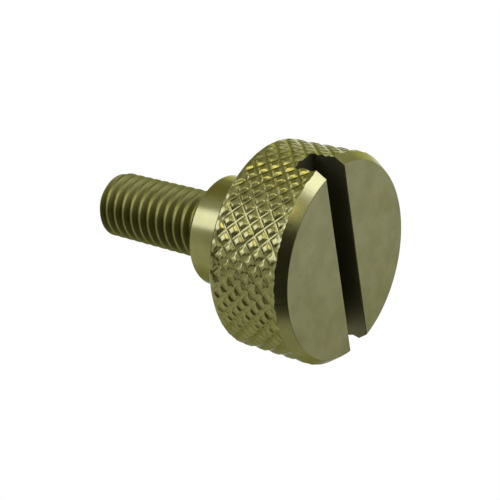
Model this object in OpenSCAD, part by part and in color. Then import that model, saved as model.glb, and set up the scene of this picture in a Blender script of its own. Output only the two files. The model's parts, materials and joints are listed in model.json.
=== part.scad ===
// Retainer knob: a slotted thumbscrew turned in one piece, with a diamond-knurled head,
// a plain collar and a threaded shank. It stands on its slotted face, thread up.

/* [Head] */
// Diameter of the head over the knurl
head_d = 18; // [14:0.5:22]
// Length of the head, from the slotted face to the collar
head_len = 7.5; // [6:0.25:10]
// Width of the bevel round the slotted face, along the radius
bevel_w = 0.65; // [0.4:0.05:1]
// Length of the bevel round the slotted face, along the axis
bevel_len = 0.9; // [0.5:0.05:1.2]
// Chamfer on the edge of the head next to the collar
rear_chamfer = 0.35; // [0.2:0.05:0.6]

/* [Slot] */
// Width of the screwdriver slot across the face
slot_w = 2.5; // [1.5:0.1:4]
// Depth of the slot below the face
slot_depth = 3; // [1.5:0.1:4]

/* [Knurl] */
// Grooves of each hand round the head
knurl_starts = 38; // [26:1:42]
// Height of one diamond along the axis
diamond_h = 1.4; // [1.2:0.05:1.8]
// Width of a groove at the surface, measured round the head
groove_w = 0.8; // [0.4:0.02:0.9]
// Depth of a groove
groove_depth = 0.18; // [0.1:0.01:0.35]
// Height of the first row of diamonds above the face
knurl_rise = 0.65; // [0.05:0.01:0.7]
// Turn of the knurl from the slot, in degrees
knurl_turn = 0.9; // [0:0.1:10]

/* [Collar] */
// Diameter of the collar
collar_d = 9.8; // [8:0.1:12]
// Length of the collar
collar_len = 5.7; // [3:0.1:9]
// Chamfer on the collar's seat edge
collar_chamfer = 0.45; // [0.2:0.05:0.8]

/* [Thread] */
// Major diameter of the threaded shank
thread_d = 6; // [4:0.5:6.5]
// Length of the threaded shank
thread_len = 12.5; // [8:0.5:20]
// Pitch of the thread
thread_pitch = 1; // [0.7:0.05:1.25]
// Chamfer at the tip of the shank
tip_chamfer = 0.6; // [0.3:0.05:0.9]

/* [Hidden] */
$fn = 96;

// How far a cutting form reaches past the surface that it cuts
spill = 0.5;

head_r = head_d / 2;
collar_r = collar_d / 2;
thread_r = thread_d / 2;
collar_end = head_len + collar_len;
tip_end = collar_end + thread_len;

// The collar and the shank start inside the head, clear of the slot's floor
root_z = (slot_depth + head_len) / 2;

// Thread with 60 degree flanks: its depth, and the width of the groove's floor
thread_depth = 0.6 * thread_pitch;
flank_slope = tan(30);
groove_floor = thread_pitch * 7 / 8 - 2 * thread_depth * flank_slope;
thread_sides = 24;
mouth_spill = 0.05 * thread_pitch;

// The groove starts a quarter pitch above the collar and reaches its full depth over half a turn
first_side = -thread_sides / 4;
run_in_sides = thread_sides / 2;

// Each row of diamonds is half a diamond along from the last, and half a diamond round
step_deg = 360 / knurl_starts;
row_h = diamond_h / 2;
spare_rows = 2;
rows = ceil(head_len / row_h) + 2 * spare_rows;
first_z = knurl_rise - spare_rows * row_h;

// Share of a diamond's width that the flat top keeps
top_share = 1 - groove_w * knurl_starts / (PI * head_d);

// Point at radius r, so many diamonds round the head and so many rows along it
function on_head(r, around, row) =
    let (a = knurl_turn + around * step_deg)
    [r * cos(a), r * sin(a), first_z + row * row_h];

// Where two grooves cross: odd rows are turned by half a diamond
function crossing(row, i) = on_head(head_r - groove_depth, i + (row % 2) / 2, row);

// Corners of a diamond's flat top: low, right, high and left
function top_corners(row, i) =
    let (middle = i + 0.5 + (row % 2) / 2)
    [
        on_head(head_r, middle, row - top_share),
        on_head(head_r, middle + top_share / 2, row),
        on_head(head_r, middle, row + top_share),
        on_head(head_r, middle - top_share / 2, row)
    ];

// Crossings fill rows 0 to rows, and diamonds are centred on the rows between
starts = [0 : knurl_starts - 1];
diamond_rows = [1 : rows - 1];
knurl_points = [
    for (row = [0 : rows], i = starts) crossing(row, i),
    for (row = diamond_rows, i = starts) each top_corners(row, i),
    [0, 0, first_z],
    [0, 0, first_z + rows * row_h]
];

// Places of the points in that list
first_top = (rows + 1) * knurl_starts;
low_centre = first_top + 4 * (rows - 1) * knurl_starts;
high_centre = low_centre + 1;
function cross_at(row, i) = row * knurl_starts + i % knurl_starts;
function top_at(row, i, corner) = first_top + 4 * ((row - 1) * knurl_starts + i) + corner;

// Crossings at a diamond's low, right, high and left corners
function cross_corners(row, i) =
    let (beside = i + row % 2)
    [cross_at(row - 1, beside), cross_at(row, i + 1), cross_at(row + 1, beside), cross_at(row, i)];

// A diamond is a flat top and four flanks down to the grooves, two triangles each
function diamond_faces(row, i) =
    let (
        foot = cross_corners(row, i),
        top = [for (corner = [0 : 3]) top_at(row, i, corner)]
    )
    [
        [top[0], top[3], top[2]],
        [top[0], top[2], top[1]],
        for (a = [0 : 3])
            let (b = (a + 1) % 4)
            each [[foot[a], top[a], top[b]], [foot[a], top[b], foot[b]]]
    ];

// Zigzag edge between an even row of crossings and the odd row beside it
function zigzag(even_row, odd_row) =
    [for (i = starts) each [cross_at(even_row, i), cross_at(odd_row, i)]];
function next(list, i) = list[(i + 1) % len(list)];

last_even = rows - rows % 2;
last_odd = last_even == rows ? rows - 1 : rows;
low_edge = zigzag(0, 1);
high_edge = zigzag(last_even, last_odd);
knurl_faces = [
    for (row = diamond_rows, i = starts) each diamond_faces(row, i),
    for (i = [0 : len(low_edge) - 1]) [low_centre, low_edge[i], next(low_edge, i)],
    for (i = [0 : len(high_edge) - 1]) [high_centre, next(high_edge, i), high_edge[i]]
];

// Knurled bar, longer than the head at both ends
module knurled_bar() {
    polyhedron(knurl_points, knurl_faces);
}

// Turned ends of the head: the flat face with its bevel, and the chamfered back
module head_envelope() {
    rotate_extrude()
        polygon([
            [0, 0],
            [head_r - bevel_w, 0],
            [head_r + spill, bevel_len * (1 + spill / bevel_w)],
            [head_r + spill, head_len - rear_chamfer - spill],
            [head_r - rear_chamfer, head_len],
            [0, head_len]
        ]);
}

// Plain collar behind the head
module collar() {
    rotate_extrude()
        polygon([
            [0, root_z],
            [collar_r, root_z],
            [collar_r, collar_end - collar_chamfer],
            [collar_r - collar_chamfer, collar_end],
            [0, collar_end]
        ]);
}

// Depth of the thread's groove at one station of the helix, from just outside the shank
function depth_at(i) =
    let (share = min(1, (i - first_side) / run_in_sides))
    share * thread_depth - (1 - share) * mouth_spill / 2;

// Corners of the groove at that station: floor, mouth, mouth and floor
function groove_section(i) =
    let (
        a = i * 360 / thread_sides,
        z = collar_end + thread_pitch * (i / thread_sides + 0.5),
        floor_r = thread_r - depth_at(i),
        mouth_r = thread_r + mouth_spill,
        mouth_half = groove_floor / 2 + (mouth_r - floor_r) * flank_slope
    )
    [
        [floor_r * cos(a), floor_r * sin(a), z - groove_floor / 2],
        [mouth_r * cos(a), mouth_r * sin(a), z - mouth_half],
        [mouth_r * cos(a), mouth_r * sin(a), z + mouth_half],
        [floor_r * cos(a), floor_r * sin(a), z + groove_floor / 2]
    ];

// Right-hand groove, from just above the collar to past the tip
module thread_groove() {
    last_side = thread_sides * ceil(thread_len / thread_pitch + 1);
    count = last_side - first_side;
    polyhedron(
        [for (i = [first_side : last_side]) each groove_section(i)],
        [
            [3, 2, 1, 0],
            for (i = [0 : count - 1], a = [0 : 3])
                let (b = (a + 1) % 4, here = 4 * i, after = here + 4)
                each [[here + a, here + b, after + b], [here + a, after + b, after + a]],
            [for (a = [0 : 3]) 4 * count + a]
        ]
    );
}

// Shank with its chamfered tip and its thread
module shank() {
    difference() {
        rotate_extrude()
            polygon([
                [0, root_z],
                [thread_r, root_z],
                [thread_r, tip_end - tip_chamfer],
                [thread_r - tip_chamfer, tip_end],
                [0, tip_end]
            ]);
        thread_groove();
    }
}

// Slot for a screwdriver or a coin, right across the face along Y
module slot() {
    translate([-slot_w / 2, -head_r - spill, -spill])
        cube([slot_w, head_d + 2 * spill, slot_depth + spill]);
}

module retainer_knob() {
    color([0.56, 0.54, 0.4])
        difference() {
            union() {
                intersection() {
                    knurled_bar();
                    head_envelope();
                }
                collar();
                shank();
            }
            slot();
        }
}

retainer_knob();
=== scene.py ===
"""Looks of the retainer knob: a knurled, slotted thumbscrew in dull plated metal."""

import contextlib
import json
import math

import bmesh
import bpy
import numpy as np
from mathutils import Matrix, Vector


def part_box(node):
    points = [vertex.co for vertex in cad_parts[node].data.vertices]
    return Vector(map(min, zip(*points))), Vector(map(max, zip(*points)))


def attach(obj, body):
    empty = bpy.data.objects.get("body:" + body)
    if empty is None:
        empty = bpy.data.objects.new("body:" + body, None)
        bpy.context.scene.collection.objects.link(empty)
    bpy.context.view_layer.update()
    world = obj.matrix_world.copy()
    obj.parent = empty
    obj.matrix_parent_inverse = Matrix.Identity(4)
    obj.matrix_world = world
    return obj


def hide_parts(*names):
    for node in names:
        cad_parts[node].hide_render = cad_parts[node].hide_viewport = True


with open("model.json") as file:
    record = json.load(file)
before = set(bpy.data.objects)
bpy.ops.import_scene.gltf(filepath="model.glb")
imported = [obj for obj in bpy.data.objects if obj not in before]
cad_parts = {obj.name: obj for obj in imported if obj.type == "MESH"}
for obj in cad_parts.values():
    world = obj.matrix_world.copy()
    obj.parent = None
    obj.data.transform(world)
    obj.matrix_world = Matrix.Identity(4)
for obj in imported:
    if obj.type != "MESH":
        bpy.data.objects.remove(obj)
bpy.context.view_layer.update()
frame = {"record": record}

MM = 0.001

# Sizes that the frame gives
mounts = {mount["name"]: mount for mount in frame["record"]["mounts"]}
node_low, node_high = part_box("retainer_knob")
FACE_Z = node_low[2]
HEAD_R = node_high[0]
TIP_Z = node_high[2]
HEAD_Z = mounts["head_seat"]["pos_m"][2]
SEAT_Z = mounts["collar_seat"]["pos_m"][2]
COLLAR_R = mounts["collar"]["dims"]["r_mm"] * MM
THREAD_R = mounts["thread"]["dims"]["r_mm"] * MM

# Slot, with its edges lightly broken
SLOT_W = 2.5 * MM
SLOT_DEPTH = 3.0 * MM
SLOT_EDGE = 0.06 * MM

# Turned edges of the head, collar and shank, and the radii that break them
BEVEL_W = 0.65 * MM
BEVEL_LEN = 0.9 * MM
REAR_CHAMFER = 0.35 * MM
COLLAR_CHAMFER = 0.45 * MM
TIP_CHAMFER = 0.6 * MM
EDGE_R = 0.07 * MM
COLLAR_EDGE_R = 2 * EDGE_R

# The collar and the shank start inside the head, clear of the slot's floor
ROOT_Z = (SLOT_DEPTH + HEAD_Z) / 2

# Turned forms: steps round the axis and in an arc, and how far one reaches past what it cuts
AXIS_SEGMENTS = 256
ARC_STEPS = 5
SPILL = 0.5 * MM

# Points that the cuts leave closer than this are joined, and steeper edges than this stay sharp
WELD = 0.002 * MM
SHARP_ANGLE = math.radians(24)

# Diamond knurl: grooves of each hand, and where the rows of diamonds lie
KNURL_STARTS = 38
KNURL_TURN = math.radians(0.9)
KNURL_RISE = 0.65 * MM
DIAMOND_H = 1.4 * MM
DIAMOND_W = 2 * math.pi * HEAD_R / KNURL_STARTS
ROW_H = DIAMOND_H / 2
SPARE_ROWS = 2

# Groove of the knurl
GROOVE_W = 0.8 * MM
GROOVE_DEPTH = 0.19 * MM

# Its half width as a share of a diamond's width, its floor as a share of that, its curve of the flank
GROOVE_HALF = GROOVE_W * KNURL_STARTS / (2 * math.pi * HEAD_R) / 2
GROOVE_FLOOR = 0.25
GROOVE_CURVE = 0.15

# Places of the mesh's points beside the middle of a groove, as shares of its half width
GROOVE_STATIONS = (0, 0.22, 0.45, 0.9, 1.12)

# The grooves fade over this length to this share of their depth, at both ends of the head
LEAD_LEN = 0.6 * MM
LEAD_SHARE = 0.3

# Tops of the diamonds are crowned and slope round the head
TOP_CROWN = 0.008 * MM
TOP_LEAN = 0.1

# Scatter in the depth of the grooves and in the tilt of the tops
DEPTH_SPREAD = 0.07
TILT_SPREAD = 0.02
SEED = 7

# Metric thread with 60 degree flanks. The half widths are shares of the pitch
PITCH = 1.0 * MM
THREAD_DEPTH = 0.5 * PITCH
CREST_HALF = 0.12
ROOT_HALF = CREST_HALF + THREAD_DEPTH / PITCH * math.tan(math.radians(30))
THREAD_CURVE = 0.25
THREAD_SEGMENTS = 96
SPARE_TURNS = 2

# The thread deepens from a plain neck over half a turn
NECK_PITCHES = 0.25
RUN_IN_TURNS = 0.5

# Tones of the plate and of the ground face, each a pair that is mixed in patches
PLATE_TONES = ((0.158, 0.155, 0.055), (0.182, 0.179, 0.067))
FACE_TONES = ((0.18, 0.178, 0.086), (0.215, 0.212, 0.108))

# Tints over the plate by zone: how much of each, and its colour. Those of the shank, the thread and
# the slot are painted shade
TINTS_AND_PAINTED_SHADE = {
    # Darker deeper in the knurl's grooves
    "knurl": (0.1, (0.1, 0.09, 0.015)),
    # Painted shade: the whole shank darker and more olive
    "shank": (0.35, (0.08, 0.08, 0.013)),
    # Painted shade in the thread's grooves, below its crests
    "thread": (0.3, (0.16, 0.16, 0.03)),
    # Painted shade on the slot's walls and floor
    "slot": (0.85, (0.1, 0.095, 0.055)),
}
SPECK_SHARE = 0.3
SPECK_COLOUR = (0.053, 0.05, 0.015)
GRAZING_TINT = (0.47, 0.47, 0.38)

# Roughness of the plate, what its patches add at most, and what a zone adds
ROUGHNESS = 0.17
PATCH_ROUGHNESS = 0.14
ZONE_ROUGHNESS = {"slot": 0.3, "shank": 0.15}

# Where a zone starts and where it is full, from the face, crests, seats, tip and slot
FACE_FADE = (0.04 * MM, 0.01 * MM)
KNURL_FADE = (-0.05 * MM, -GROOVE_DEPTH)
KNURL_LIMIT = (-2.5 * GROOVE_DEPTH, -1.5 * GROOVE_DEPTH)
BEVEL_FADE = (0.5 * BEVEL_LEN, BEVEL_LEN)
REAR_FADE = (0, -REAR_CHAMFER)
SHANK_FADE = (0.05 * MM, 0.4 * MM)
THREAD_FADE = (-0.08 * MM, -0.4 * MM)
NECK_FADE = (0, 0.2 * MM)
TIP_FADE = (-0.02 * MM, -0.1 * MM)
SLOT_WALL_FADE = (0.03 * MM, 0.005 * MM)
SLOT_FLOOR_FADE = (0.03 * MM, 0.01 * MM)

# Noise of the patches, specks and grain: spots a metre, detail and roughness
PATCH_NOISE = (420.0, 4.0, 0.6)
SPECK_NOISE = (2600.0, 2.0, 0.55)
GRAIN_NOISE = (5200.0, 3.0, 0.6)

# Levels of the noise between which patches and specks set in
PATCH_LEVELS = (0.35, 0.65)
SPECK_LEVELS = (0.66, 0.76)

# Turning marks: rings a metre, their detail, how they shift with the radius, and the share of grain
RING_SCALE = 9000.0
RING_DETAIL = 3.0
RING_SLOPE = 0.8
GRAIN_SHARE = 0.7
MARK_DEPTH = 0.01 * MM
MARK_STRENGTH = 0.25

# Camera, fitted to the photograph
CAMERA_EYE = Vector((69.30, 54.56, -52.47)) * MM
CAMERA_TARGET = Vector((5.75, 3.18, 5.16)) * MM
CAMERA_UP = Vector((-0.4956, 0.8439, 0.2058))
CAMERA_LENS = 90.25
SENSOR = 36.0

# Colours of the lamps
WHITE = (1.0, 1.0, 1.0)
COOL = (0.67, 0.67, 1.12)
WARM = (1.0, 0.98, 0.6)
GOLD = (1.0, 0.88, 0.46)

# Lamps and cards face this point, a little nearer the head than the tip
STUDIO_MIDDLE = Vector((0, 0, TIP_Z * 0.45))
LAMP_DISTANCE = 0.25

# Soft boxes: direction along the camera's right, up and back, width, height, radiance and colour
SOFT_BOXES = {
    "left_box": ((-0.87, 0.39, 0.29), 0.13, 0.13, 5.9, COOL),
    "top_box": ((0.42, 0.78, 0.45), 0.11, 0.11, 7.9, COOL),
    "high_box": ((0.85, 0.5, 0.1), 0.11, 0.11, 2.1, COOL),
    "right_box": ((0.93, 0.02, -0.36), 0.15, 0.15, 0.33, COOL),
    "warm_box": ((-0.15, 0.62, 0.77), 0.06, 0.2, 5.4, GOLD),
    "side_box": ((-0.8, 0.4, -0.45), 0.16, 0.16, 1.06, WARM),
    "back_box": ((0.28, 0.5, -0.82), 0.18, 0.18, 1.7, WHITE),
    "low_box": ((-0.78, -0.6, -0.05), 0.2, 0.2, 0.22, WHITE),
}

# Cards: direction as above, distance, half height, half width, share of soft edge and glow
CARDS = {
    "front_card": ((0.1, -0.42, 0.9), 0.2, 0.26, 0.13, 0.5, (0.055, 0.055, 0.06)),
    "left_card": ((-0.67, -0.42, 0.61), 0.21, 0.15, 0.085, 0.45, (0.13, 0.12, 0.02)),
    "top_card": ((-0.33, 0.92, -0.2), 0.2, 0.1, 0.1, 0.6, (0.64, 0.59, 0.32)),
    "right_card": ((0.95, -0.05, 0.3), 0.2, 0.1, 0.1, 0.5, (0.06, 0.06, 0.07)),
    "low_card": ((0.62, -0.76, 0.18), 0.2, 0.11, 0.11, 0.5, (0.06, 0.06, 0.07)),
}

# Floor and the light on it
FLOOR_HALF = 0.8
FLOOR_DROP = 0.02 * MM
FLOOR_COLOUR = (0.86, 0.86, 0.85)
FLOOR_LIGHT = (0.6, 0.6, 0.6)
SUN_DIRECTION = Vector((0.4, -0.5, 1)).normalized()
SUN_STRENGTH = 1.3
SUN_ANGLE = math.radians(20)
MATT_ROUGHNESS = 0.9


def mesh_object(name, points, faces):
    """A mesh object from lists of points and faces."""
    mesh = bpy.data.meshes.new(name)
    mesh.from_pydata([tuple(p) for p in points], [], [tuple(f) for f in faces])
    mesh.update()
    piece = bpy.data.objects.new(name, mesh)
    bpy.context.scene.collection.objects.link(piece)
    return piece


@contextlib.contextmanager
def editing(mesh):
    """Opens a mesh for editing and writes it back at the end."""
    edit = bmesh.new()
    edit.from_mesh(mesh)
    yield edit
    edit.to_mesh(mesh)
    edit.free()


def rounded(corners):
    """Outline through (r, z, radius) corners, each with an arc of its radius."""
    outline = []
    for i, (r, z, radius) in enumerate(corners):
        here = np.array((r, z))
        if radius == 0:
            outline.append(here)
            continue
        back = np.array(corners[i - 1][:2]) - here
        ahead = np.array(corners[i + 1][:2]) - here
        back /= np.linalg.norm(back)
        ahead /= np.linalg.norm(ahead)
        half = math.acos(float(np.clip(back @ ahead, -1, 1))) / 2
        middle = (back + ahead) / np.linalg.norm(back + ahead)
        centre = here + middle * radius / math.sin(half)
        start = here + back * radius / math.tan(half) - centre
        end = here + ahead * radius / math.tan(half) - centre
        for step in range(ARC_STEPS + 1):
            share = step / ARC_STEPS
            ray = start * (1 - share) + end * share
            outline.append(centre + ray * radius / np.linalg.norm(ray))
    return outline


def turned(name, corners):
    """A closed solid of revolution about Z. The first and last corner lie on the axis."""
    outline = rounded(corners)
    rings = outline[1:-1]
    count = AXIS_SEGMENTS
    angles = 2 * math.pi * np.arange(count) / count
    points = [(r * math.cos(a), r * math.sin(a), z) for r, z in rings for a in angles]
    faces = []
    for ring in range(len(rings) - 1):
        for i in range(count):
            here = ring * count + i
            after = ring * count + (i + 1) % count
            faces.append((here, after, after + count, here + count))
    low = len(points)
    high = low + 1
    last = (len(rings) - 1) * count
    points += [(0, 0, outline[0][1]), (0, 0, outline[-1][1])]
    for i in range(count):
        j = (i + 1) % count
        faces.append((low, j, i))
        faces.append((high, last + i, last + j))
    return mesh_object(name, points, faces)


def combine(target, other, operation):
    """Joins, cuts or intersects target with other, which is used up."""
    change = target.modifiers.new("combine", "BOOLEAN")
    change.operation = operation
    change.solver = "MANIFOLD"
    change.object = other
    graph = bpy.context.evaluated_depsgraph_get()
    result = bpy.data.meshes.new_from_object(target.evaluated_get(graph))
    target.modifiers.clear()
    old = target.data
    target.data = result
    bpy.data.meshes.remove(old)
    bpy.data.objects.remove(other)


def on_slot_wall(corner):
    """Whether a point of a mesh lies on a wall of the slot."""
    return abs(abs(corner.co.x) - SLOT_W / 2) < WELD


def clean(mesh):
    """Joins points that the cuts left touching, and splits the faces that they left uneven."""
    with editing(mesh) as edit:
        bmesh.ops.remove_doubles(edit, verts=edit.verts, dist=WELD)
        bmesh.ops.dissolve_degenerate(edit, edges=edit.edges, dist=WELD)
        bmesh.ops.delete(edit, geom=[edge for edge in edit.edges if edge.is_wire], context="EDGES")

        # Faces with many corners, and those that could fold onto a wall of the slot
        uneven = [
            face for face in edit.faces
            if len(face.verts) > 4 or sum(map(on_slot_wall, face.verts)) == 3
        ]
        bmesh.ops.triangulate(edit, faces=uneven)


def close_end(points, faces, ring, z, facing_up):
    """Closes a ring of points with a fan to the axis."""
    centre = len(points)
    points.append((0, 0, z))
    for i, spot in enumerate(ring):
        after = ring[(i + 1) % len(ring)]
        faces.append((centre, spot, after) if facing_up else (centre, after, spot))


def soft_clamp(x, curve):
    """x kept between 0 and 1, with both corners rounded."""
    low = np.where(x < curve, np.clip(x + curve, 0, None) ** 2 / (4 * curve), x)
    return np.where(x > 1 - curve, 1 - np.clip(1 + curve - x, 0, None) ** 2 / (4 * curve), low)


def groove_height(across):
    """Height across a diamond, 0 on the grooves' narrow floors and 1 on the top between them."""
    away = np.minimum(across, 1 - across) / GROOVE_HALF
    return soft_clamp((away - GROOVE_FLOOR) / (1 - GROOVE_FLOOR), GROOVE_CURVE)


def knurl_drop(p, q):
    """How far the knurl lies below the head's radius, where p and q count the grooves of each hand.

    Depths differ a little from groove to groove, and tilts from top to top.
    """
    draw = np.random.default_rng(SEED)
    depth_p = 1 + DEPTH_SPREAD * draw.standard_normal(KNURL_STARTS)
    depth_q = 1 + DEPTH_SPREAD * draw.standard_normal(KNURL_STARTS)
    tilts = TILT_SPREAD * draw.standard_normal((KNURL_STARTS, KNURL_STARTS, 2))

    # Grooves
    across_p = p % 1
    across_q = q % 1
    high_p = groove_height(across_p)
    high_q = groove_height(across_q)
    drop_p = (1 - high_p) * depth_p[np.rint(p).astype(int) % KNURL_STARTS]
    drop_q = (1 - high_q) * depth_q[np.rint(q).astype(int) % KNURL_STARTS]
    groove = GROOVE_DEPTH * np.maximum(drop_p, drop_q)

    # Tops of the diamonds
    tilt = tilts[np.floor(p).astype(int) % KNURL_STARTS, np.floor(q).astype(int) % KNURL_STARTS]
    rise = DIAMOND_W * (tilt[:, 0] * (across_p - 0.5) + tilt[:, 1] * (across_q - 0.5))
    from_middle = (2 * across_p - 1) ** 2 + (2 * across_q - 1) ** 2
    crown = TOP_CROWN * from_middle / (1 - 2 * GROOVE_HALF) ** 2
    lower = TOP_LEAN * DIAMOND_W * ((across_p + across_q) / 2 - GROOVE_HALF)
    return np.maximum(groove + (crown + lower - rise) * high_p * high_q, 0)


def knurl_lead(z):
    """Share of its depth that the knurl keeps at a height."""
    from_end = np.minimum(z - BEVEL_LEN, HEAD_Z - REAR_CHAMFER - z)
    return LEAD_SHARE + (1 - LEAD_SHARE) * np.clip(from_end / LEAD_LEN, 0, 1)


def knurl_stations():
    """Places of the mesh's points across a diamond, from the middle of one groove to the next."""
    near = [share * GROOVE_HALF for share in GROOVE_STATIONS]
    near.append((near[-1] + 0.5) / 2)
    return np.array([*near, 0.5, *[1 - place for place in reversed(near)]])


def knurled_bar():
    """Bar with flat-topped diamonds between two sets of helical grooves, longer than the head.

    p and q count the grooves of each hand, so a diamond is a unit square of p and q.
    """
    stations = knurl_stations()
    steps = len(stations) - 1
    fine = KNURL_STARTS * steps
    rows = math.ceil(HEAD_Z / ROW_H) + 2 * SPARE_ROWS
    first_z = KNURL_RISE - SPARE_ROWS * ROW_H

    def keys(p, q):
        """One number for each place on the fine grid, the same after a full turn."""
        turns = q // fine
        return (p - turns * fine) * fine + q - turns * fine

    # Every small quad by its first corner, on the fine grid
    row, cell, step_p, step_q = np.meshgrid(
        np.arange(1, rows), np.arange(KNURL_STARTS), np.arange(steps), np.arange(steps), indexing="ij"
    )
    fine_p = ((cell + row) * steps + step_p).ravel()
    fine_q = (cell * steps + step_q).ravel()
    corner_keys = np.stack([
        keys(fine_p, fine_q),
        keys(fine_p, fine_q + 1),
        keys(fine_p + 1, fine_q + 1),
        keys(fine_p + 1, fine_q),
    ], 1)
    used, inverse = np.unique(corner_keys, return_inverse=True)
    faces = inverse.reshape(-1, 4).tolist()

    # Points at the places that are used
    used_p = used // fine
    used_q = used % fine
    p = used_p // steps + stations[used_p % steps]
    q = used_q // steps + stations[used_q % steps]
    angle = KNURL_TURN + (p + q) / 2 * 2 * math.pi / KNURL_STARTS
    z = first_z + (p - q) * ROW_H
    radius = HEAD_R - knurl_drop(p, q) * knurl_lead(z)
    points = np.stack([radius * np.cos(angle), radius * np.sin(angle), z], 1).tolist()

    # Zigzag rings at both ends
    place = {int(key): i for i, key in enumerate(used)}
    low_ring = []
    high_ring = []
    for start in range(KNURL_STARTS):
        p_low = (start + 1) * steps
        p_high = (start + rows - 1) * steps
        q_here = start * steps
        q_next = q_here + steps
        low_ring += [keys(p_low, q_here + step) for step in range(steps)]
        low_ring += [keys(p_low + step, q_next) for step in range(steps)]
        high_ring += [keys(p_high + step, q_here) for step in range(steps)]
        high_ring += [keys(p_high + steps, q_here + step) for step in range(steps)]
    close_end(points, faces, [place[key] for key in low_ring], first_z, False)
    close_end(points, faces, [place[key] for key in high_ring], first_z + rows * ROW_H, True)
    return mesh_object("knurled_bar", points, faces)


def threaded_bar():
    """Bar with a right-hand thread, longer than the shank. Its rows follow the helix."""
    bend = THREAD_CURVE * (ROOT_HALF - CREST_HALF)
    crest = [CREST_HALF - bend, CREST_HALF, CREST_HALF + bend]
    root = [ROOT_HALF - bend, ROOT_HALF, ROOT_HALF + bend]
    side = np.array([*crest, (CREST_HALF + ROOT_HALF) / 2, *root])
    share = np.concatenate([[-0.5], -side[::-1], [0], side])
    height = soft_clamp((ROOT_HALF - np.abs(share)) / (ROOT_HALF - CREST_HALF), THREAD_CURVE)
    steps = len(share)
    turns = math.ceil((TIP_Z - SEAT_Z) / PITCH) + SPARE_TURNS + 1
    rows = turns * steps
    column = rows + steps + 1
    row = np.arange(column)
    low_z = SEAT_Z - SPARE_TURNS * PITCH
    row_z = low_z + PITCH * (row // steps + share[row % steps])
    row_drop = THREAD_DEPTH * (1 - height[row % steps])
    row_groove = row // steps + np.where(share[row % steps] > 0, 0.5, -0.5) - SPARE_TURNS
    points = []
    for i in range(THREAD_SEGMENTS):
        turn = i / THREAD_SEGMENTS
        angle = 2 * math.pi * i / THREAD_SEGMENTS
        cut = np.clip((row_groove + turn - NECK_PITCHES) / RUN_IN_TURNS, 0, 1)
        radius = THREAD_R - np.maximum(row_drop - THREAD_DEPTH * (1 - cut), 0)
        z = row_z + PITCH * i / THREAD_SEGMENTS
        points += np.stack([radius * math.cos(angle), radius * math.sin(angle), z], 1).tolist()

    def at(i, j):
        """Place of a point. After a full turn the rows are one pitch further on."""
        return i * column + j if i < THREAD_SEGMENTS else j + steps

    faces = []
    for i in range(THREAD_SEGMENTS):
        for j in range(rows):
            faces.append((at(i, j), at(i + 1, j), at(i + 1, j + 1), at(i, j + 1)))
    last_steps = range(steps, 0, -1)
    low_ring = [at(i, 0) for i in range(THREAD_SEGMENTS)] + [at(0, j) for j in last_steps]
    high_ring = [at(i, rows) for i in range(THREAD_SEGMENTS)] + [at(0, rows + j) for j in last_steps]
    close_end(points, faces, low_ring, low_z, False)
    close_end(points, faces, high_ring, low_z + PITCH * turns, True)
    bar = mesh_object("threaded_bar", points, faces)

    # Only the first column needs its points past the last row
    with editing(bar.data) as edit:
        spare = [corner for corner in edit.verts if not corner.link_faces]
        bmesh.ops.delete(edit, geom=spare, context="VERTS")
    return bar


def slot_cutter():
    """Bar of the slot's section, along Y, with its mouth widened by the broken edges."""
    half = SLOT_W / 2
    reach = HEAD_R + SPILL
    mouth = half + SLOT_EDGE + SPILL
    section = [
        (half, SLOT_DEPTH),
        (-half, SLOT_DEPTH),
        (-half, SLOT_EDGE),
        (-mouth, -SPILL),
        (mouth, -SPILL),
        (half, SLOT_EDGE),
    ]
    count = len(section)
    points = [(x, y, z) for y in (-reach, reach) for x, z in section]
    faces = [tuple(range(count - 1, -1, -1)), tuple(range(count, 2 * count))]
    for i in range(count):
        j = (i + 1) % count
        faces.append((i, j, count + j, count + i))
    cutter = mesh_object("slot_cutter", points, faces)
    with editing(cutter.data) as edit:
        bmesh.ops.recalc_face_normals(edit, faces=edit.faces)
    return cutter


def head():
    """Knurled head with a bevelled face and a chamfered back."""
    ends = turned("head_envelope", [
        (0, 0, 0),
        (HEAD_R - BEVEL_W, 0, EDGE_R),
        (HEAD_R + SPILL, BEVEL_LEN * (1 + SPILL / BEVEL_W), 0),
        (HEAD_R + SPILL, HEAD_Z - REAR_CHAMFER - SPILL, 0),
        (HEAD_R - REAR_CHAMFER, HEAD_Z, EDGE_R),
        (0, HEAD_Z, 0),
    ])
    piece = knurled_bar()
    combine(piece, ends, "INTERSECT")
    return piece


def collar():
    """Plain collar behind the head."""
    return turned("collar", [
        (0, ROOT_Z, 0),
        (COLLAR_R, ROOT_Z, 0),
        (COLLAR_R, SEAT_Z - COLLAR_CHAMFER, COLLAR_EDGE_R),
        (COLLAR_R - COLLAR_CHAMFER, SEAT_Z, EDGE_R),
        (0, SEAT_Z, 0),
    ])


def shank():
    """Threaded shank with a chamfered tip."""
    ends = turned("shank_envelope", [
        (0, ROOT_Z, 0),
        (THREAD_R + SPILL, ROOT_Z, 0),
        (THREAD_R + SPILL, TIP_Z - TIP_CHAMFER - SPILL, 0),
        (THREAD_R - TIP_CHAMFER, TIP_Z, EDGE_R),
        (0, TIP_Z, 0),
    ])
    piece = threaded_bar()
    combine(piece, ends, "INTERSECT")
    return piece


def knob():
    """The whole knob as one closed mesh."""
    stem = collar()
    combine(stem, shank(), "UNION")
    piece = head()
    combine(piece, stem, "UNION")
    combine(piece, slot_cutter(), "DIFFERENCE")
    piece.name = "turned_knob"
    mesh = piece.data
    mesh.name = "turned_knob"
    clean(mesh)
    mesh.polygons.foreach_set("use_smooth", [True] * len(mesh.polygons))
    mesh.set_sharp_from_angle(angle=SHARP_ANGLE)
    return piece


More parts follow.
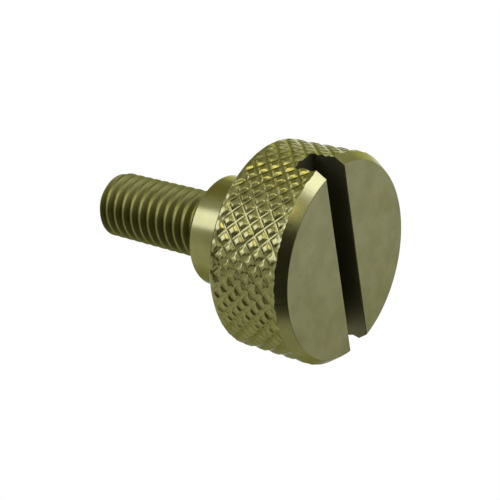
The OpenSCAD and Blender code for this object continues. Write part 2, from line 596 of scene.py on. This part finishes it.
def math_node(tree, operation, first, second=None):
    """A Math node's output. Each input is a number or a socket."""
    made = tree.nodes.new("ShaderNodeMath")
    made.operation = operation
    for spot, value in enumerate((first, second)):
        if isinstance(value, (int, float)):
            made.inputs[spot].default_value = value
        elif value is not None:
            tree.links.new(value, made.inputs[spot])
    return made.outputs[0]


def times(tree, *values):
    """Product of two or more values."""
    product = values[0]
    for value in values[1:]:
        product = math_node(tree, "MULTIPLY", product, value)
    return product


def ramp(tree, value, low, high):
    """0 where value is at low, 1 where it is at high, and smooth between."""
    made = tree.nodes.new("ShaderNodeMapRange")
    made.interpolation_type = "SMOOTHSTEP"
    made.inputs["From Min"].default_value = low
    made.inputs["From Max"].default_value = high
    tree.links.new(value, made.inputs["Value"])
    return made.outputs["Result"]


def fade(tree, value, origin, ends):
    """A ramp between two distances from origin."""
    start, full = ends
    return ramp(tree, value, origin + start, origin + full)


def mix_colour(tree, share, first, second):
    """A colour between two, each a tuple or a socket."""
    made = tree.nodes.new("ShaderNodeMix")
    made.data_type = "RGBA"
    sockets = {socket.identifier: socket for socket in made.inputs}
    tree.links.new(share, sockets["Factor_Float"])
    for name, value in (("A_Color", first), ("B_Color", second)):
        if isinstance(value, tuple):
            sockets[name].default_value = (*value, 1)
        else:
            tree.links.new(value, sockets[name])
    return next(socket for socket in made.outputs if socket.identifier == "Result_Color")


def noise(tree, place, scale, detail, roughness):
    """Noise in space, of so many spots a metre."""
    made = tree.nodes.new("ShaderNodeTexNoise")
    made.inputs["Scale"].default_value = scale
    made.inputs["Detail"].default_value = detail
    made.inputs["Roughness"].default_value = roughness
    tree.links.new(place, made.inputs["Vector"])
    return made.outputs["Fac"]


def plate_zones(tree, x, z, out):
    """Shares of the knob's zones at a point. out is its distance from the axis."""
    aside = math_node(tree, "ABSOLUTE", x)
    return {
        "face": fade(tree, z, FACE_Z, FACE_FADE),
        "knurl": times(
            tree,
            fade(tree, out, HEAD_R, KNURL_FADE),
            fade(tree, out, HEAD_R, KNURL_LIMIT),
            fade(tree, z, FACE_Z, BEVEL_FADE),
            fade(tree, z, HEAD_Z, REAR_FADE),
        ),
        "shank": fade(tree, z, SEAT_Z, SHANK_FADE),
        "thread": times(
            tree,
            fade(tree, out, THREAD_R, THREAD_FADE),
            fade(tree, z, SEAT_Z, NECK_FADE),
            fade(tree, z, TIP_Z, TIP_FADE),
        ),
        "slot": times(
            tree,
            fade(tree, aside, SLOT_W / 2, SLOT_WALL_FADE),
            fade(tree, z, SLOT_DEPTH, SLOT_FLOOR_FADE),
        ),
    }


def plate_colour(tree, place, cloudy, zones):
    """Two close olive tones, paler on the face, with tints in the zones and dark specks. The tints
    paint shade on the shank, in the thread and in the slot.
    """
    patchy = ramp(tree, cloudy, *PATCH_LEVELS)
    metal = mix_colour(tree, patchy, *PLATE_TONES)
    ground = mix_colour(tree, patchy, *FACE_TONES)
    metal = mix_colour(tree, zones["face"], metal, ground)
    for zone, (share, tint) in TINTS_AND_PAINTED_SHADE.items():
        metal = mix_colour(tree, times(tree, zones[zone], share), metal, tint)
    specks = ramp(tree, noise(tree, place, *SPECK_NOISE), *SPECK_LEVELS)
    return mix_colour(tree, times(tree, specks, SPECK_SHARE), metal, SPECK_COLOUR)


def plate_roughness(tree, cloudy, zones):
    """Roughness that follows the patches and rises in some zones."""
    rough = math_node(tree, "ADD", times(tree, cloudy, PATCH_ROUGHNESS), ROUGHNESS)
    for zone, more in ZONE_ROUGHNESS.items():
        rough = math_node(tree, "ADD", rough, times(tree, zones[zone], more))
    return rough


def turning_marks(tree, place, z, out):
    """A bumped normal: fine rings along the outline, the same all the way round, and some grain."""
    rings = tree.nodes.new("ShaderNodeTexNoise")
    rings.noise_dimensions = "1D"
    rings.inputs["Scale"].default_value = RING_SCALE
    rings.inputs["Detail"].default_value = RING_DETAIL
    tree.links.new(math_node(tree, "ADD", z, times(tree, out, RING_SLOPE)), rings.inputs["W"])
    grain = noise(tree, place, *GRAIN_NOISE)
    marks = math_node(tree, "ADD", rings.outputs["Fac"], times(tree, grain, GRAIN_SHARE))
    bump = tree.nodes.new("ShaderNodeBump")
    bump.inputs["Strength"].default_value = MARK_STRENGTH
    bump.inputs["Distance"].default_value = MARK_DEPTH
    tree.links.new(marks, bump.inputs["Height"])
    return bump.outputs["Normal"]


def plated_metal():
    """Dull nickel plate with an olive tint, turned and knurled, darker deeper in the knurl's grooves,
    with painted shade on the shank, in the thread and in the slot.
    """
    material = bpy.data.materials.new("plated_metal")
    material.use_nodes = True
    tree = material.node_tree
    tree.nodes.clear()
    place = tree.nodes.new("ShaderNodeTexCoord").outputs["Object"]
    split = tree.nodes.new("ShaderNodeSeparateXYZ")
    tree.links.new(place, split.inputs[0])
    x, y, z = split.outputs
    out = math_node(tree, "SQRT", math_node(tree, "ADD", times(tree, x, x), times(tree, y, y)))
    cloudy = noise(tree, place, *PATCH_NOISE)
    zones = plate_zones(tree, x, z, out)

    surface = tree.nodes.new("ShaderNodeBsdfPrincipled")
    surface.inputs["Metallic"].default_value = 1.0
    surface.inputs["Specular Tint"].default_value = (*GRAZING_TINT, 1)
    tree.links.new(plate_colour(tree, place, cloudy, zones), surface.inputs["Base Color"])
    tree.links.new(plate_roughness(tree, cloudy, zones), surface.inputs["Roughness"])
    tree.links.new(turning_marks(tree, place, z, out), surface.inputs["Normal"])
    finish = tree.nodes.new("ShaderNodeOutputMaterial")
    tree.links.new(surface.outputs[0], finish.inputs["Surface"])
    return material


def camera_axes():
    """The camera's right, up and back directions."""
    back = (CAMERA_EYE - CAMERA_TARGET).normalized()
    right = CAMERA_UP.cross(back).normalized()
    return right, back.cross(right), back


def add_camera():
    """Camera of the photograph."""
    right, up, back = camera_axes()
    data = bpy.data.cameras.new("camera")
    data.sensor_width = SENSOR
    data.lens = CAMERA_LENS
    data.clip_start = 1 * MM
    camera = bpy.data.objects.new("camera", data)
    bpy.context.scene.collection.objects.link(camera)
    turn = Matrix((right, up, back)).transposed().to_4x4()
    camera.matrix_world = Matrix.Translation(CAMERA_EYE) @ turn
    bpy.context.scene.camera = camera


def from_camera(right_share, up_share, back_share):
    """A direction given along the camera's right, up and back."""
    right, up, back = camera_axes()
    return (right * right_share + up * up_share + back * back_share).normalized()


def aim(thing, direction, distance):
    """Puts thing that way from the studio's middle, with its -Z side towards it."""
    turn = direction.to_track_quat("Z", "Y").to_matrix().to_4x4()
    thing.matrix_world = Matrix.Translation(STUDIO_MIDDLE + direction * distance) @ turn


def add_lamp(name, data, direction):
    """A lamp of that data, that way from the studio's middle."""
    lamp = bpy.data.objects.new(name, data)
    bpy.context.scene.collection.objects.link(lamp)
    aim(lamp, direction, LAMP_DISTANCE)
    return lamp


def soft_box(name, direction, width, height, radiance, colour):
    """A rectangular soft light of that radiance, which lights the knob and not the floor."""
    data = bpy.data.lights.new(name, "AREA")
    data.shape = "RECTANGLE"
    data.size = width
    data.size_y = height
    data.energy = radiance * math.pi * width * height
    data.color = colour
    lamp = add_lamp(name, data, direction)
    lamp.visible_camera = False
    lamp.visible_diffuse = False


def shadow_sun():
    """Soft sun from above, which lights the floor alone and throws the knob's shadow on it."""
    data = bpy.data.lights.new("shadow_sun", "SUN")
    data.energy = SUN_STRENGTH
    data.angle = SUN_ANGLE
    lamp = add_lamp("shadow_sun", data, SUN_DIRECTION)
    lamp.visible_glossy = False


def sheet(name, half, colour):
    """A square sheet with a plain matt material."""
    corners = [(-half, -half, 0), (half, -half, 0), (half, half, 0), (-half, half, 0)]
    made = mesh_object(name, corners, [(0, 1, 2, 3)])
    material = bpy.data.materials.new(name)
    material.use_nodes = True
    surface = material.node_tree.nodes["Principled BSDF"]
    surface.inputs["Base Color"].default_value = (*colour, 1)
    surface.inputs["Roughness"].default_value = MATT_ROUGHNESS
    surface.inputs["Specular IOR Level"].default_value = 0.0
    made.data.materials.append(material)
    return made


def clear_where(made, share):
    """Makes a sheet see-through where share, a socket of its material, is 1."""
    tree = made.data.materials[0].node_tree
    clear = tree.nodes.new("ShaderNodeBsdfTransparent")
    choose = tree.nodes.new("ShaderNodeMixShader")
    tree.links.new(share, choose.inputs[0])
    tree.links.new(tree.nodes["Principled BSDF"].outputs[0], choose.inputs[1])
    tree.links.new(clear.outputs[0], choose.inputs[2])
    tree.links.new(choose.outputs[0], tree.nodes["Material Output"].inputs["Surface"])


def soft_card(name, direction, distance, tall, wide, soft, glow):
    """An oval card with a soft edge and a glow of its own, which only reflections see."""
    card = sheet(name, 1.0, (0.0, 0.0, 0.0))
    tree = card.data.materials[0].node_tree
    surface = tree.nodes["Principled BSDF"]
    surface.inputs["Emission Color"].default_value = (*glow, 1)
    surface.inputs["Emission Strength"].default_value = 1.0
    place = tree.nodes.new("ShaderNodeTexCoord").outputs["Object"]
    away = tree.nodes.new("ShaderNodeVectorMath")
    away.operation = "LENGTH"
    tree.links.new(place, away.inputs[0])
    clear_where(card, ramp(tree, away.outputs["Value"], 1 - soft, 1))
    aim(card, direction, distance)
    card.matrix_world = card.matrix_world @ Matrix.Diagonal((tall, wide, 1, 1))
    card.visible_camera = False
    card.visible_diffuse = False
    card.visible_shadow = False


def floor():
    """Pale floor, which shows from above only, because the photograph looks up at the face."""
    ground = sheet("floor", FLOOR_HALF, FLOOR_COLOUR)
    ground.location.z = -FLOOR_DROP
    geometry = ground.data.materials[0].node_tree.nodes.new("ShaderNodeNewGeometry")
    clear_where(ground, geometry.outputs["Backfacing"])
    ground.visible_glossy = False
    ground.visible_diffuse = False
    ground.visible_shadow = False


def studio_world():
    """White to the camera and in reflections, with a softer light on the floor."""
    world = bpy.data.worlds.new("studio")
    bpy.context.scene.world = world
    world.use_nodes = True
    tree = world.node_tree
    path = tree.nodes.new("ShaderNodeLightPath")
    seen = math_node(tree, "MAXIMUM", path.outputs["Is Camera Ray"], path.outputs["Is Glossy Ray"])
    seen = math_node(tree, "MAXIMUM", seen, path.outputs["Is Transmission Ray"])
    colour = mix_colour(tree, seen, FLOOR_LIGHT, WHITE)
    tree.links.new(colour, tree.nodes["Background"].inputs["Color"])


body = knob()
body.data.materials.clear()
body.data.materials.append(plated_metal())
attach(body, "root")
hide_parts("retainer_knob")

add_camera()
floor()
studio_world()
for box_name, (way, *box_looks) in SOFT_BOXES.items():
    soft_box(box_name, from_camera(*way), *box_looks)
shadow_sun()
for card_name, (way, *card_looks) in CARDS.items():
    soft_card(card_name, from_camera(*way), *card_looks)

bpy.context.scene.view_settings.view_transform = "Standard"
